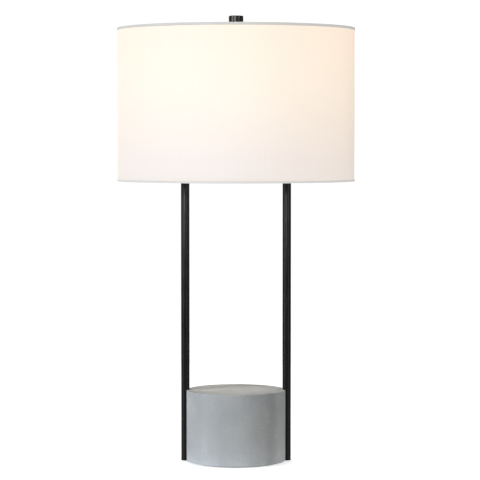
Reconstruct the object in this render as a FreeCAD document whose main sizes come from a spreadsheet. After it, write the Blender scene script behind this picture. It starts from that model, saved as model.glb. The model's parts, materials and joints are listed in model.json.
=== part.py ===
"""A table lamp: a concrete block, two round uprights, a crossbar with a socket, and a drum shade on a harp.

Millimetres. The origin is the centre of the felt pad on the floor, +Z is up, the uprights stand on the
X axis and the cord outlet faces +Y. Every sub-part is an object of the document whose sizes come from
the sheet.
"""

import FreeCAD
import Part
import Sketcher
import math
import os
import re

V = FreeCAD.Vector
UP = V(0, 0, 1)
ROUND = 360.0

# The driving dimensions: alias, millimetres (or degrees), and what it is.
SIZES = [
    # block and foot
    ("felt_thickness", 1.5, "felt under the block"),
    ("felt_radius", 68, "felt under the block"),
    ("block_radius", 74.5, "concrete block"),
    ("block_height", 106.6, "concrete block"),
    ("block_edge", 1.2, "rounding of the block's top and bottom edge"),
    ("groove_gap", 0.15, "clearance of a rod in its groove"),
    ("pocket_radius", 26, "wiring pocket under the block"),
    ("pocket_depth", 46, "wiring pocket under the block"),
    ("bar_thickness", 4, "foot bar across the underside"),
    ("bar_gap", 0.3, "clearance of the foot bar in its channel"),
    ("insert_place", 46, "block inserts from the centre"),
    ("insert_radius", 3.6, "threaded insert in the block"),
    ("insert_length", 14, "threaded insert in the block"),
    ("outlet_height", 17, "cord outlet above the floor"),
    ("outlet_radius", 3.5, "bore of the cord grommet"),
    ("grommet_radius", 6, "grommet's neck"),
    ("grommet_flange", 8, "grommet's flange radius"),
    ("grommet_length", 18, "grommet from end to end"),
    ("grommet_lip", 2.5, "thickness of the grommet's flange"),
    ("grommet_proud", 1, "how far the flange stands out of the block"),
    ("grommet_round", 0.7, "rounding of the grommet's flange"),
    # rods and crossbar
    ("rod_radius", 6.35, "round upright"),
    ("rod_wall", 1.2, "wall of the upright"),
    ("rod_place", 76.2, "upright's axis from the centre"),
    ("rod_top", 440.2, "top of the upright above the floor"),
    ("rod_screw", 2.45, "radius of the screw up into a rod"),
    ("rod_screw_head", 4.75, "radius of its countersunk head"),
    ("block_screw", 1.95, "radius of the screw up into the block"),
    ("block_screw_head", 3.85, "radius of its countersunk head"),
    ("screw_gap", 0.2, "clearance of a screw in a plain hole"),
    ("screw_end", 0.5, "chamfer at the end of a screw or a threaded stem"),
    ("rod_screw_length", 14, "screw up into a rod"),
    ("rod_screw_key", 1.7, "hexagon socket of that screw, middle to corner"),
    ("block_screw_length", 16, "screw up into the block"),
    ("block_screw_key", 1.4, "hexagon socket of that screw, middle to corner"),
    ("foot_nut_length", 12, "threaded nut in a rod's foot"),
    ("cap_plug", 5, "plug of a rod cap, down into the rod"),
    ("cap_disc", 1.6, "disc of a rod cap, above the rod"),
    ("cap_edge", 0.6, "chamfer of a rod cap's disc"),
    ("plug_edge", 0.4, "chamfer of a rod cap's plug"),
    ("strip_length", 20, "terminal strip, left to right"),
    ("strip_width", 16, "terminal strip, front to back"),
    ("strip_height", 14, "terminal strip"),
    ("strip_place", -8, "terminal strip from the centre"),
    ("strip_screw", 1.45, "radius of the strip's fixing screw"),
    ("strip_head", 2.61, "radius of that screw's head"),
    ("strip_head_top", 1.9, "height of that screw's head"),
    ("strip_head_side", 1.2, "height of the side of that screw's head"),
    ("barrel_radius", 2.4, "brass barrel of the terminal strip"),
    ("barrel_length", 18, "brass barrel of the terminal strip"),
    ("barrel_place", 4.5, "each barrel from the strip's middle"),
    ("clamp_place", 5, "clamping screws from the strip's middle"),
    ("clamp_screw", 1, "radius of a clamping screw"),
    ("clamp_length", 4, "clamping screw"),
    ("slot_width", 0.6, "screwdriver slot, width and depth"),
    ("lead_hole", 4, "radius of the holes that the leads go through"),
    ("lead_height", 32, "where the leads leave the right upright"),
    ("bar_low", 425.2, "underside of the crossbar"),
    ("bar_high", 12, "crossbar's height"),
    ("bar_deep", 12, "crossbar's depth, front to back"),
    ("bar_wall", 1.2, "crossbar's wall"),
    ("boss_radius", 8, "threaded boss on the crossbar"),
    ("boss_height", 8, "threaded boss on the crossbar"),
    ("stem_radius", 4.85, "threaded stem"),
    ("stem_bore", 3.5, "bore of the threaded stem"),
    ("stem_length", 21, "threaded stem"),
    ("stem_gap", 0.1, "clearance round the threaded stem"),
    ("lock_radius", 7.2, "lock washer"),
    ("lock_thickness", 1, "lock washer"),
    ("nut_corner", 8.1, "hex nut, middle to corner"),
    ("nut_height", 3.5, "hex nut"),
    # harp
    ("saddle_thickness", 1.6, "harp saddle"),
    ("saddle_width", 12, "harp saddle, front to back"),
    ("saddle_reach", 28, "outside of the saddle's upright tips"),
    ("saddle_tip", 17, "height of the saddle's tips"),
    ("saddle_shoulder", 3, "height at which the saddle narrows to its tips"),
    ("tip_width", 3.6, "saddle's tips, front to back"),
    ("harp_wire", 1.6, "radius of the harp's wire"),
    ("harp_bow", 57, "harp's widest half-width"),
    ("harp_shoulder", 35.91, "where the harp's crown runs flat, from the middle"),
    ("harp_straight", 22.8, "half of the straight run at the harp's widest place"),
    ("harp_leg_bend", 28.5, "radius of the bend over a leg"),
    ("harp_crown_bend", 19.95, "radius of the bend beside the crown"),
    ("leg_height", 491.45, "height of the bend over a leg above the floor"),
    ("bend_height", 563.2, "height of the harp's widest place above the floor"),
    ("hub_drop_below", 1.4, "harp hub below its wire"),
    ("sleeve_inner", 3.4, "bore radius of a harp sleeve"),
    ("sleeve_wall", 0.8, "wall of a harp sleeve"),
    ("sleeve_height", 14, "harp sleeve"),
    ("sleeve_edge", 0.5, "taper of a harp sleeve's top, inwards"),
    ("sleeve_taper", 1.2, "taper of a harp sleeve's top, downwards"),
    ("stud_radius", 3.1, "threaded stud that takes the finial"),
    ("stud_length", 14.5, "threaded stud above the harp's seat"),
    ("stud_edge", 0.6, "chamfer of that stud"),
    ("seat_radius", 9, "harp's seat"),
    ("seat_thickness", 1.8, "harp's seat"),
    # shade
    ("shade_bottom", 421.6, "lower edge of the shade above the floor"),
    ("shade_height", 228.6, "drum shade, 9 inches"),
    ("shade_radius", 177.8, "drum shade, 14 inches across"),
    ("trim_thickness", 0.4, "folded edge band"),
    ("trim_height", 4, "folded band at the top edge"),
    ("low_trim_height", 3.2, "folded band at the bottom edge"),
    ("fabric_thickness", 0.6, "shade fabric"),
    ("bond_gap", 0.15, "glue between the fabric and the liner"),
    ("liner_thickness", 0.5, "stiff liner behind the fabric"),
    ("ring_wire", 1.6, "radius of the shade's ring wire"),
    ("arm_wire", 1.5, "radius of a spider arm"),
    ("hub_radius", 11, "spider hub"),
    ("hub_thickness", 1.8, "spider hub"),
    ("hub_bore", 3.5, "hole of the spider hub"),
    ("hub_drop", 10.7, "spider hub's underside below the shade's top edge"),
    ("washer_thickness", 0.8, "washers above and below the spider hub"),
    ("washer_radius", 8.5, "washers above and below the spider hub"),
    ("washer_bore", 3.4, "hole of those washers"),
    ("slack", 0.05, "gap between stacked loose pieces"),
    # finial
    ("lamp_height", 668.6, "top of the finial above the floor"),
    ("finial_radius", 10.9, "finial's head"),
    ("finial_neck", 6.5, "finial's neck radius"),
    ("neck_height", 6, "finial's neck"),
    ("head_edge", 0.6, "chamfer under the finial's head"),
    ("head_top_edge", 0.8, "chamfer of the finial's top"),
    ("finial_drill", 0.5, "cone at the end of the finial's bore"),
    # socket and switch
    ("cap_radius", 16.8, "socket cap and shell"),
    ("cap_collar", 7, "radius of the socket cap's collar"),
    ("cap_height", 22, "socket cap"),
    ("collar_height", 6, "collar of the socket cap"),
    ("cone_top", 12, "top of the socket cap's cone"),
    ("cone_round", 14, "where the cap's side starts to be straight"),
    ("cone_edge", 1, "bevel between the cap's cone and its side"),
    ("shell_lap", 3, "how far the shell goes down into the cap"),
    ("shell_wall", 0.8, "socket cap and shell"),
    ("shell_height", 42, "socket shell"),
    ("shell_lip", 1.2, "rolled lip of the socket shell"),
    ("shell_hole", 2.6, "hole in the shell for the switch shaft"),
    ("liner_wall", 0.7, "paper liner in the socket shell"),
    ("core_radius", 14.2, "switch core"),
    ("core_height", 22, "switch core"),
    ("core_shaft", 16, "switch shaft above the core's underside"),
    ("core_notch", 5, "half-width of the notches in the core's sides"),
    ("notch_height", 13, "notches in the core's sides"),
    ("core_flat", 9.5, "flats in the core's sides, from the middle"),
    ("terminal_height", 7, "terminal screws above the core's underside"),
    ("terminal_screw", 1.5, "radius of a terminal screw"),
    ("terminal_shank", 6, "depth of a terminal screw in the core"),
    ("terminal_head", 2, "head of a terminal screw"),
    ("terminal_edge", 0.4, "chamfer of that head"),
    ("shell_contact", 0.5, "sheet brass of the screw shell and the contact"),
    ("contact_width", 5, "centre contact"),
    ("contact_foot", 8, "end of the centre contact's foot, from the middle"),
    ("contact_heel", 5.5, "start of the centre contact's slope"),
    ("contact_knee", 2.5, "end of that slope"),
    ("contact_tongue", 4, "end of the centre contact's tongue"),
    ("contact_bend", 0.3, "shift of the slope's upper side"),
    ("contact_rise", 3, "top of the centre contact above the core"),
    ("knob_length", 13, "switch knob"),
    ("knob_radius", 6, "switch knob"),
    ("knob_edge", 1, "chamfer of the knob's inner end"),
    ("knob_top_edge", 1.5, "chamfer of the knob's outer end"),
    ("knob_cap", 3, "closed end of the knob"),
    ("knob_place", 26, "inner end of the knob from the socket's middle"),
    ("flute_radius", 0.9, "flutes round the knob"),
    ("flute_place", 6.3, "middle of a flute from the knob's axis"),
    ("shaft_radius", 2, "switch shaft"),
    ("shaft_length", 35, "switch shaft"),
    ("screw_shell_radius", 14, "outside of the socket's screw shell"),
    # bulb
    ("bulb_radius", 30, "glass bulb"),
    ("bulb_length", 110, "bulb from tip to top"),
    ("bulb_wall", 0.8, "glass wall"),
    ("cap_thread", 13, "outside radius of the bulb's screw cap"),
    ("bulb_cap_top", 24, "top of the bulb's screw cap above its tip"),
    ("tip_radius", 4.6, "bulb's contact tip"),
    ("tip_height", 1.6, "bulb's contact tip"),
    ("tip_round", 0.8, "height of the tip's bevel"),
    ("tip_edge", 1.3, "width of the tip's bevel"),
    ("insulator_radius", 11.6, "bulb's black insulator"),
    ("insulator_cone", 4.6, "top of the insulator's cone above the tip"),
    ("insulator_top", 6.2, "top of the insulator above the tip"),
    ("cap_foot", 5.4, "where the screw cap's side starts above the tip"),
    ("cap_thread_low", 7, "start of the screw cap's thread above the tip"),
    ("cap_depth", 0.4, "depth of the screw cap's thread"),
    ("cap_sheet", 0.5, "sheet of the screw cap"),
    ("cap_rim", 1.3, "how far the screw cap's foot turns in"),
    ("cap_rim_round", 0.6, "bevel of the screw cap's foot"),
    ("stem_top", 54, "bulb's stem above the tip"),
    ("flare_radius", 11.9, "flare at the stem's foot"),
    ("flare_height", 1, "flare at the stem's foot"),
    ("stem_shoulder", 6, "radius of the stem above its flare"),
    ("shoulder_height", 5, "height of that place above the flare's foot"),
    ("stem_waist", 3.2, "radius of the stem's upper part"),
    ("waist_height", 17, "height of that place above the flare's foot"),
    ("stem_end", 2.4, "radius of the stem's top"),
    ("support_foot", 1.5, "foot of a support wire from the middle"),
    ("filament_spread", 13.5, "filament's half-width"),
    ("support_wire", 0.4, "radius of the filament and its supports"),
    ("bulb_neck", 12.9, "bulb's neck radius"),
    ("thread_pitch", 3.63, "pitch of the bulb's thread"),
    ("lead_radius", 1.3, "insulated lead"),
    ("lead_side", 1.5, "each lead's distance from the middle plane"),
    ("lead_start", 10.95, "each lead at its terminal, from the middle"),
    ("lead_cup", 15.5, "height in the socket cap at which a lead turns in"),
    ("lead_throat", 11, "height in the socket cap at which a lead turns down"),
    ("lead_turn", 16, "where a lead turns down to the strip, from the barrel's mouth"),
    ("lead_straight", 7, "straight end of a lead before the barrel's mouth"),
    ("lead_grip", 3, "length of a lead inside the barrel"),
]

# Places worked out from the sizes above.
DERIVED = {
    "block_bottom": "felt_thickness",
    "rod_bottom": "block_bottom + bar_thickness",
    "rod_bore": "rod_radius - rod_wall",
    "strip_low": "rod_bottom + slack",
    "bar_middle": "bar_low + bar_high / 2",
    "bar_top": "bar_low + bar_high",
    "boss_top": "bar_top + boss_height",
    "saddle_top": "boss_top + saddle_thickness",
    "cap_low": "saddle_top + lock_thickness + nut_height + 3 * slack",
    "shell_low": "cap_low + cap_height - shell_lap",
    "shell_top": "shell_low + shell_height",
    "core_low": "shell_low - 1",
    "core_top": "core_low + core_height",
    "shaft_height": "core_low + core_shaft",
    "contact_top": "core_top + contact_rise",
    "bulb_low": "contact_top + slack",
    "shade_top": "shade_bottom + shade_height",
    "hub_low": "shade_top - hub_drop",
    "seat_top": "hub_low - washer_thickness - 2 * slack",
    "leg_place": "saddle_reach + 0.1 + harp_wire",
    "sleeve_place": "saddle_reach + 0.1 + harp_wire - saddle_thickness / 2",
    "sleeve_low": "saddle_top + 2",
    "crown_height": "seat_top - seat_thickness - harp_wire - 1",
    "finial_washer_low": "hub_low + hub_thickness + slack",
    "finial_low": "finial_washer_low + washer_thickness + slack",
    "fabric_outer": "shade_radius - trim_thickness",
    "fabric_inner": "fabric_outer - fabric_thickness",
    "liner_outer": "fabric_inner - bond_gap",
    "liner_inner": "liner_outer - liner_thickness",
    "ring_radius": "liner_inner - slack - ring_wire",
    "top_ring_height": "shade_top - trim_thickness - slack - ring_wire",
}

doc = FreeCAD.newDocument("TableLamp")
sheet = doc.addObject("Spreadsheet::Sheet", "Dims")
for row, (alias, number, note) in enumerate(SIZES, start=1):
    sheet.set(f"A{row}", alias)
    sheet.set(f"B{row}", str(number))
    sheet.setAlias(f"B{row}", alias)
    sheet.set(f"C{row}", note)
doc.recompute()
ALIASES = {alias for alias, _, _ in SIZES}
subparts = []


# ---------------------------------------------------------------- expressions

def bound(text):
    """The text as a FreeCAD expression: a derived place written out, an alias read from the sheet."""

    def word(match):
        name = match.group()
        if name in DERIVED:
            return "(" + bound(DERIVED[name]) + ")"
        return "Dims." + name if name in ALIASES else name

    return re.sub(r"[a-z]\w*", word, text)


def value(text):
    """The number that an expression gives now."""
    return float(sheet.evalExpression(bound(text)))


def bind(item, **properties):
    """Binds properties of an object to expressions of the sheet."""
    for name, text in properties.items():
        item.setExpression(name, bound(text))


def put(item, x="0", y="0", z="0"):
    """Binds where an object stands."""
    for axis, text in (("x", x), ("y", y), ("z", z)):
        item.setExpression(f"Placement.Base.{axis}", bound(text))
    return item


def turn(item, axis, degrees):
    """Turns an object about an axis through its own origin."""
    item.Placement = FreeCAD.Placement(item.Placement.Base, FreeCAD.Rotation(axis, degrees))
    return item


def keep(item, label):
    """Makes an object a sub-part: its label names its file."""
    item.Label = label
    subparts.append(item)
    return item


# ---------------------------------------------------------------- sketches and features

def new_body(name):
    return doc.addObject("PartDesign::Body", name)


def new_sketch(body, plane, offset="0"):
    """A sketch on one of the body's origin planes, moved along the plane's normal."""
    made = body.newObject("Sketcher::SketchObject", body.Name + "_sketch")
    support = next(f for f in body.Origin.OriginFeatures if f.Role == plane)
    made.AttachmentSupport = [(support, "")]
    made.MapMode = "FlatFace"
    made.setExpression("AttachmentOffset.Base.z", bound(offset))
    return made


def limit(made, kind, where, text):
    """One dimension of a sketch, bound to an expression."""
    index = made.addConstraint(Sketcher.Constraint(kind, *where, value(text)))
    made.renameConstraint(index, f"size{index}")
    made.setExpression(f"Constraints.size{index}", bound(text))


def pin(made, geometry, point, x, y):
    """Holds a point of a sketch at x, y."""
    limit(made, "DistanceX", (-1, 1, geometry, point), x)
    limit(made, "DistanceY", (-1, 1, geometry, point), y)


def draw_outline(made, points):
    """A closed outline of straight lines through points given as pairs of expressions."""
    spots = [V(value(x), value(y), 0) for x, y in points]
    first = made.GeometryCount
    following = spots[1:] + spots[:1]
    for start, end in zip(spots, following):
        made.addGeometry(Part.LineSegment(start, end), False)
    for i, (x, y) in enumerate(points):
        after = first + (i + 1) % len(points)
        made.addConstraint(Sketcher.Constraint("Coincident", first + i, 2, after, 1))
        pin(made, first + i, 1, x, y)


def draw_circle(made, radius, x="0", y="0"):
    centre = V(value(x), value(y), 0)
    index = made.addGeometry(Part.Circle(centre, UP, value(radius)), False)
    limit(made, "Radius", (index,), radius)
    pin(made, index, 3, x, y)


def draw_box(made, x0, y0, x1, y1):
    draw_outline(made, [(x0, y0), (x1, y0), (x1, y1), (x0, y1)])


def feature(body, kind, made, **properties):
    """A feature of the body made from a sketch."""
    item = body.newObject("PartDesign::" + kind, body.Name + "_" + kind.lower())
    item.Profile = made
    made.Visibility = False
    for name, setting in properties.items():
        setattr(item, name, setting)
    return item


def pad(body, made, length, reverse=False):
    item = feature(body, "Pad", made, Reversed=reverse)
    bind(item, Length=length)
    doc.recompute()
    return item


def pocket(body, made, length=None, reverse=False):
    """A pocket of a length, or through everything, which has to take something away."""
    before = body.Shape.Volume
    item = feature(body, "Pocket", made, Reversed=reverse)
    if length is None:
        item.Type = "ThroughAll"
    else:
        bind(item, Length=length)
    doc.recompute()
    if body.Shape.Volume > before - 1e-3:
        raise RuntimeError(f"a pocket of {body.Label} cuts nothing")
    return item


def revolved(name, outline):
    """A body turned from one outline in its XZ plane, about its Z axis."""
    body = new_body(name)
    made = new_sketch(body, "XZ_Plane")
    draw_outline(made, outline)
    item = feature(body, "Revolution", made, Angle=ROUND)
    item.ReferenceAxis = (made, ["V_Axis"])
    doc.recompute()
    return body


def edges_where(shape, test):
    """The names of the edges whose middle point passes a test."""
    names = []
    for number, edge in enumerate(shape.Edges, start=1):
        middle = edge.valueAt((edge.FirstParameter + edge.LastParameter) / 2)
        if test(edge, middle):
            names.append(f"Edge{number}")
    return names


def dress(body, kind, test, size):
    """A fillet or a chamfer on the edges of the body's tip that pass a test."""
    tip = body.Tip
    names = edges_where(tip.Shape, test)
    if not names:
        raise RuntimeError(f"{body.Name} has no such edge for its {kind}")
    item = body.newObject("PartDesign::" + kind, body.Name + "_" + kind.lower())
    item.Base = (tip, names)
    bind(item, **{"Radius" if kind == "Fillet" else "Size": size})
    doc.recompute()
    return item


def is_rim(edge, level=None, radius=None):
    """True for a circle at a level, of a radius, or both."""
    if not isinstance(edge.Curve, Part.Circle):
        return False
    at_level = level is None or abs(edge.Curve.Center.z - level) < 0.01
    return at_level and (radius is None or abs(edge.Curve.Radius - radius) < 0.01)


# ---------------------------------------------------------------- simple solids

def cylinder(name, radius, height, z="0"):
    item = doc.addObject("Part::Cylinder", name)
    bind(item, Radius=radius, Height=height)
    return put(item, z=z)


def tube(name, outer, inner, height):
    """A plain tube or washer standing on its own origin."""
    item = doc.addObject("Part::Cut", name)
    item.Base = cylinder(name + "_outside", outer, height)
    item.Tool = cylinder(name + "_hole", inner, height)
    return item


def pair(name, first, across=V(1, 0, 0)):
    """An object and its mirror image across a middle plane, as one group of separate solids."""
    second = doc.addObject("Part::Mirroring", name + "_mirrored")
    second.Source = first
    second.Normal = across
    item = doc.addObject("Part::Compound", name)
    item.Links = [first, second]
    return item


def unit(vector):
    return FreeCAD.Vector(vector).normalize()


def route(points, radii):
    """Straight runs joined by tangent arcs, with a radius for each inner point."""
    edges = []
    start = points[0]
    for before, corner, after, radius in zip(points, points[1:], points[2:], radii):
        back = unit(before - corner)
        ahead = unit(after - corner)
        half = back.getAngle(ahead) / 2
        reach = radius / math.tan(half)
        enter = corner + back * reach
        leave = corner + ahead * reach
        middle = corner + unit(back + ahead) * (radius / math.sin(half) - radius)
        if enter.distanceToPoint(start) > 1e-6:
            edges.append(Part.LineSegment(start, enter).toShape())
        edges.append(Part.Arc(enter, middle, leave).toShape())
        start = leave
    if points[-1].distanceToPoint(start) > 1e-6:
        edges.append(Part.LineSegment(start, points[-1]).toShape())
    return edges


def swept(edges, radius):
    """A round wire along a route."""
    path = Part.Wire(edges)
    first = path.Edges[0]
    along = first.tangentAt(first.FirstParameter)
    start = first.valueAt(first.FirstParameter)
    profile = Part.Wire([Part.makeCircle(radius, start, along)])
    return path.makePipeShell([profile], True, False)


def shaped(label, shape):
    """A sub-part whose shape is made by Part's own functions."""
    item = doc.addObject("Part::Feature", label)
    item.Shape = shape
    return keep(item, label)


# ---------------------------------------------------------------- block and foot

def make_felt():
    keep(cylinder("Felt", "felt_radius", "felt_thickness"), "felt_pad")


def make_block():
    """The cast block: a groove each side for a rod, a channel and a pocket below, and the wiring passages."""
    body = new_body("Block")
    outline = new_sketch(body, "XY_Plane")
    draw_circle(outline, "block_radius")
    pad(body, outline, "block_height")
    radius = value("block_radius")
    dress(body, "Fillet", lambda edge, middle: is_rim(edge, radius=radius), "block_edge")

    grooves = new_sketch(body, "XY_Plane")
    for x in ("rod_place", "-rod_place"):
        draw_circle(grooves, "rod_radius + groove_gap", x)
    pocket(body, grooves, reverse=True)

    channel = new_sketch(body, "XY_Plane")
    draw_box(channel, "-rod_place", "-rod_radius - bar_gap", "rod_place", "rod_radius + bar_gap")
    pocket(body, channel, "bar_thickness + slack", reverse=True)

    hollow = new_sketch(body, "XY_Plane")
    draw_circle(hollow, "pocket_radius")
    pocket(body, hollow, "pocket_depth", reverse=True)

    inserts = new_sketch(body, "XY_Plane")
    for x in ("insert_place", "-insert_place"):
        draw_circle(inserts, "insert_radius + slack", x)
    pocket(body, inserts, "bar_thickness + insert_length + 3 * slack", reverse=True)

    passage = new_sketch(body, "YZ_Plane")
    draw_circle(passage, "lead_hole", "0", "lead_height - felt_thickness")
    pocket(body, passage, "rod_place", reverse=True)

    outlet = new_sketch(body, "XZ_Plane")
    draw_circle(outlet, "grommet_radius + slack", "0", "outlet_height - felt_thickness")
    pocket(body, outlet)

    seat = new_sketch(body, "XZ_Plane", "-(block_radius + grommet_proud - grommet_lip - slack)")
    draw_circle(seat, "grommet_flange + bar_gap", "0", "outlet_height - felt_thickness")
    pocket(body, seat)
    keep(put(body, z="block_bottom"), "base_block")


def make_foot_bar():
    """The flat steel bar under the block that carries both rods, with countersunk holes."""
    body = new_body("FootBar")
    middle = new_sketch(body, "XY_Plane")
    draw_box(middle, "-rod_place", "-rod_radius", "rod_place", "rod_radius")
    pad(body, middle, "bar_thickness")
    ends = new_sketch(body, "XY_Plane")
    for x in ("rod_place", "-rod_place"):
        draw_circle(ends, "rod_radius", x)
    pad(body, ends, "bar_thickness")

    holes = new_sketch(body, "XY_Plane")
    draw_circle(holes, "strip_screw + slack", "strip_place")
    for x in ("rod_place", "-rod_place"):
        draw_circle(holes, "rod_screw + screw_gap", x)
    for x in ("insert_place", "-insert_place"):
        draw_circle(holes, "block_screw + screw_gap", x)
    pocket(body, holes, reverse=True)
    for shank, head in (("rod_screw", "rod_screw_head"), ("block_screw", "block_screw_head")):
        hole = value(f"{shank} + screw_gap")
        dress(body, "Chamfer", lambda edge, middle: is_rim(edge, 0, hole), f"{head} - {shank}")
    keep(put(body, z="block_bottom"), "foot_bar")


def draw_hexagon(made, corner):
    """A regular hexagon round the sketch's origin, given the distance to its corners."""
    turns = [60 * i for i in range(6)]
    draw_outline(made, [(f"{corner} * cos({a})", f"{corner} * sin({a})") for a in turns])


def make_flat_screws(name, label, place, shank):
    """Two countersunk screws that point up, one each side, with a hexagon socket in the head."""
    head = shank + "_head"
    length = shank + "_length"
    key = shank + "_key"
    body = revolved(name, [
        ("0", "0"),
        (head, "0"),
        (shank, f"{head} - {shank}"),
        (shank, f"{length} - screw_end"),
        (f"{shank} - screw_end", length),
        ("0", length),
    ])
    socket = new_sketch(body, "XY_Plane")
    draw_hexagon(socket, key)
    pocket(body, socket, key, reverse=True)
    put(body, x=place, z="block_bottom")
    keep(pair(name + "_pair", body), label)


def make_inserts():
    """Two threaded brass inserts cast into the block, waisted so that they hold."""
    waist = "insert_radius - 0.5"
    body = revolved("Insert", [
        ("block_screw + slack", "0"),
        ("insert_radius", "0"),
        ("insert_radius", "insert_length * 0.4"),
        (waist, "insert_length * 0.45"),
        (waist, "insert_length * 0.55"),
        ("insert_radius", "insert_length * 0.6"),
        ("insert_radius", "insert_length"),
        ("block_screw + slack", "insert_length"),
    ])
    put(body, x="insert_place", z="rod_bottom + 2 * slack")
    keep(pair("Insert_pair", body), "block_inserts")


def make_rod_ends():
    """The threaded nuts in the rods' feet and the caps on their tops."""
    nut = tube("FootNut", "rod_bore - slack", "rod_screw + slack", "foot_nut_length")
    put(nut, x="rod_place", z="rod_bottom + slack")
    keep(pair("FootNut_pair", nut), "rod_foot_nuts")
    cap = revolved("RodCap", [
        ("0", "-cap_plug"),
        ("rod_bore - slack - plug_edge", "-cap_plug"),
        ("rod_bore - slack", "plug_edge - cap_plug"),
        ("rod_bore - slack", "slack"),
        ("rod_radius", "slack"),
        ("rod_radius", "cap_disc - cap_edge"),
        ("rod_radius - cap_edge", "cap_disc"),
        ("0", "cap_disc"),
    ])
    put(cap, x="rod_place", z="rod_top")
    keep(pair("RodCap_pair", cap), "rod_caps")


def make_grommet():
    """The soft grommet that lines the cord outlet at the back."""
    body = revolved("Grommet", [
        ("outlet_radius", "0"),
        ("grommet_radius", "0"),
        ("grommet_radius", "grommet_length - grommet_lip"),
        ("grommet_flange", "grommet_length - grommet_lip"),
        ("grommet_flange", "grommet_length"),
        ("outlet_radius", "grommet_length"),
    ])
    top = value("grommet_length")
    dress(body, "Fillet", lambda edge, middle: is_rim(edge, top), "grommet_round")
    turn(body, V(1, 0, 0), -90)
    put(body, y="block_radius + grommet_proud - grommet_length", z="outlet_height")
    keep(body, "cord_grommet")


def make_terminal_strip():
    """The two-way terminal strip on the foot bar: housing, barrels, clamping screws, fixing screw."""
    body = new_body("Strip")
    outline = new_sketch(body, "XY_Plane")
    draw_box(outline, "-strip_length / 2", "-strip_width / 2", "strip_length / 2", "strip_width / 2")
    pad(body, outline, "strip_height")
    bores = new_sketch(body, "YZ_Plane", "-strip_length")
    for y in ("barrel_place", "-barrel_place"):
        draw_circle(bores, "barrel_radius + slack", y, "strip_height / 2")
    pocket(body, bores, reverse=True)
    holes = new_sketch(body, "XY_Plane", "strip_height")
    for x in ("clamp_place", "-clamp_place"):
        for y in ("barrel_place", "-barrel_place"):
            draw_circle(holes, "clamp_screw + screw_gap", x, y)
    pocket(body, holes, "strip_height / 2")
    middle = new_sketch(body, "XY_Plane")
    draw_circle(middle, "strip_screw + screw_gap")
    pocket(body, middle, reverse=True)
    keep(put(body, x="strip_place", z="strip_low"), "terminal_strip")

    barrel = new_body("Barrel")
    ring = new_sketch(barrel, "YZ_Plane", "-barrel_length / 2")
    draw_circle(ring, "barrel_radius")
    draw_circle(ring, "lead_radius + screw_gap")
    pad(barrel, ring, "barrel_length")
    taps = new_sketch(barrel, "XY_Plane")
    for x in ("clamp_place", "-clamp_place"):
        draw_circle(taps, "clamp_screw + slack", x)
    pocket(barrel, taps, reverse=True)
    put(barrel, x="strip_place", y="barrel_place", z="strip_low + strip_height / 2")
    keep(pair("Barrel_pair", barrel, V(0, 1, 0)), "terminal_barrels")

    screws = []
    for number, x in enumerate(("strip_place - clamp_place", "strip_place + clamp_place")):
        screw = revolved(f"Clamp{number}", [
            ("0", "0"),
            ("clamp_screw", "0"),
            ("clamp_screw", "clamp_length"),
            ("0", "clamp_length"),
        ])
        cut_slot(screw, "clamp_length", "clamp_screw")
        put(screw, x=x, y="barrel_place", z="strip_low + strip_height / 2 + lead_radius + slack")
        screws.append(pair(f"Clamp{number}_pair", screw, V(0, 1, 0)))
    group = doc.addObject("Part::Compound", "Clamps")
    group.Links = screws
    keep(group, "clamping_screws")

    end = "screw_end - strip_height - bar_thickness"
    fixing = revolved("StripScrew", [
        ("0", end),
        ("strip_screw", end),
        ("strip_screw", "slack"),
        ("strip_head", "slack"),
        ("strip_head", "strip_head_side"),
        ("strip_screw + screw_gap", "strip_head_top"),
        ("0", "strip_head_top"),
    ])
    cut_slot(fixing, "strip_head_top", "strip_head")
    keep(put(fixing, x="strip_place", z="strip_low + strip_height"), "strip_screw")


def cut_slot(body, top, reach):
    """A screwdriver slot across the top of a screw."""
    slot = new_sketch(body, "XY_Plane", top)
    draw_box(slot, f"-{reach}", "-slot_width / 2", reach, "slot_width / 2")
    pocket(body, slot, "slot_width")


# ---------------------------------------------------------------- rods, crossbar and stem

def make_rod(name, label, side, carries_leads):
    """A steel tube. The right one has two holes on its inner side for the leads."""
    height = "rod_top - rod_bottom"
    body = revolved(name, [
        ("rod_bore", "0"),
        ("rod_radius", "0"),
        ("rod_radius", height),
        ("rod_bore", height),
    ])
    if carries_leads:
        for level in ("lead_height - rod_bottom", "bar_middle - rod_bottom"):
            hole = new_sketch(body, "YZ_Plane")
            draw_circle(hole, "lead_hole", "0", level)
            pocket(body, hole, "2 * rod_radius")
    keep(put(body, x=side, z="rod_bottom"), label)


def make_crossbar():
    """A rectangular steel tube, coped to the rods at both ends, with a hole up into the boss."""
    body = new_body("Crossbar")
    end = "rod_place - rod_radius / 2"
    section = new_sketch(body, "YZ_Plane", f"-({end})")
    draw_box(section, "-bar_deep / 2", "0", "bar_deep / 2", "bar_high")
    inner = "bar_deep / 2 - bar_wall"
    draw_box(section, f"-({inner})", "bar_wall", inner, "bar_high - bar_wall")
    pad(body, section, f"2 * ({end})")
    copes = new_sketch(body, "XY_Plane")
    for x in ("rod_place", "-rod_place"):
        draw_circle(copes, "rod_radius + slack", x)
    pocket(body, copes, reverse=True)
    hole = new_sketch(body, "XY_Plane", "bar_high - 2 * bar_wall")
    draw_circle(hole, "lead_hole")
    pocket(body, hole, reverse=True)
    keep(put(body, z="bar_low"), "crossbar")


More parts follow.
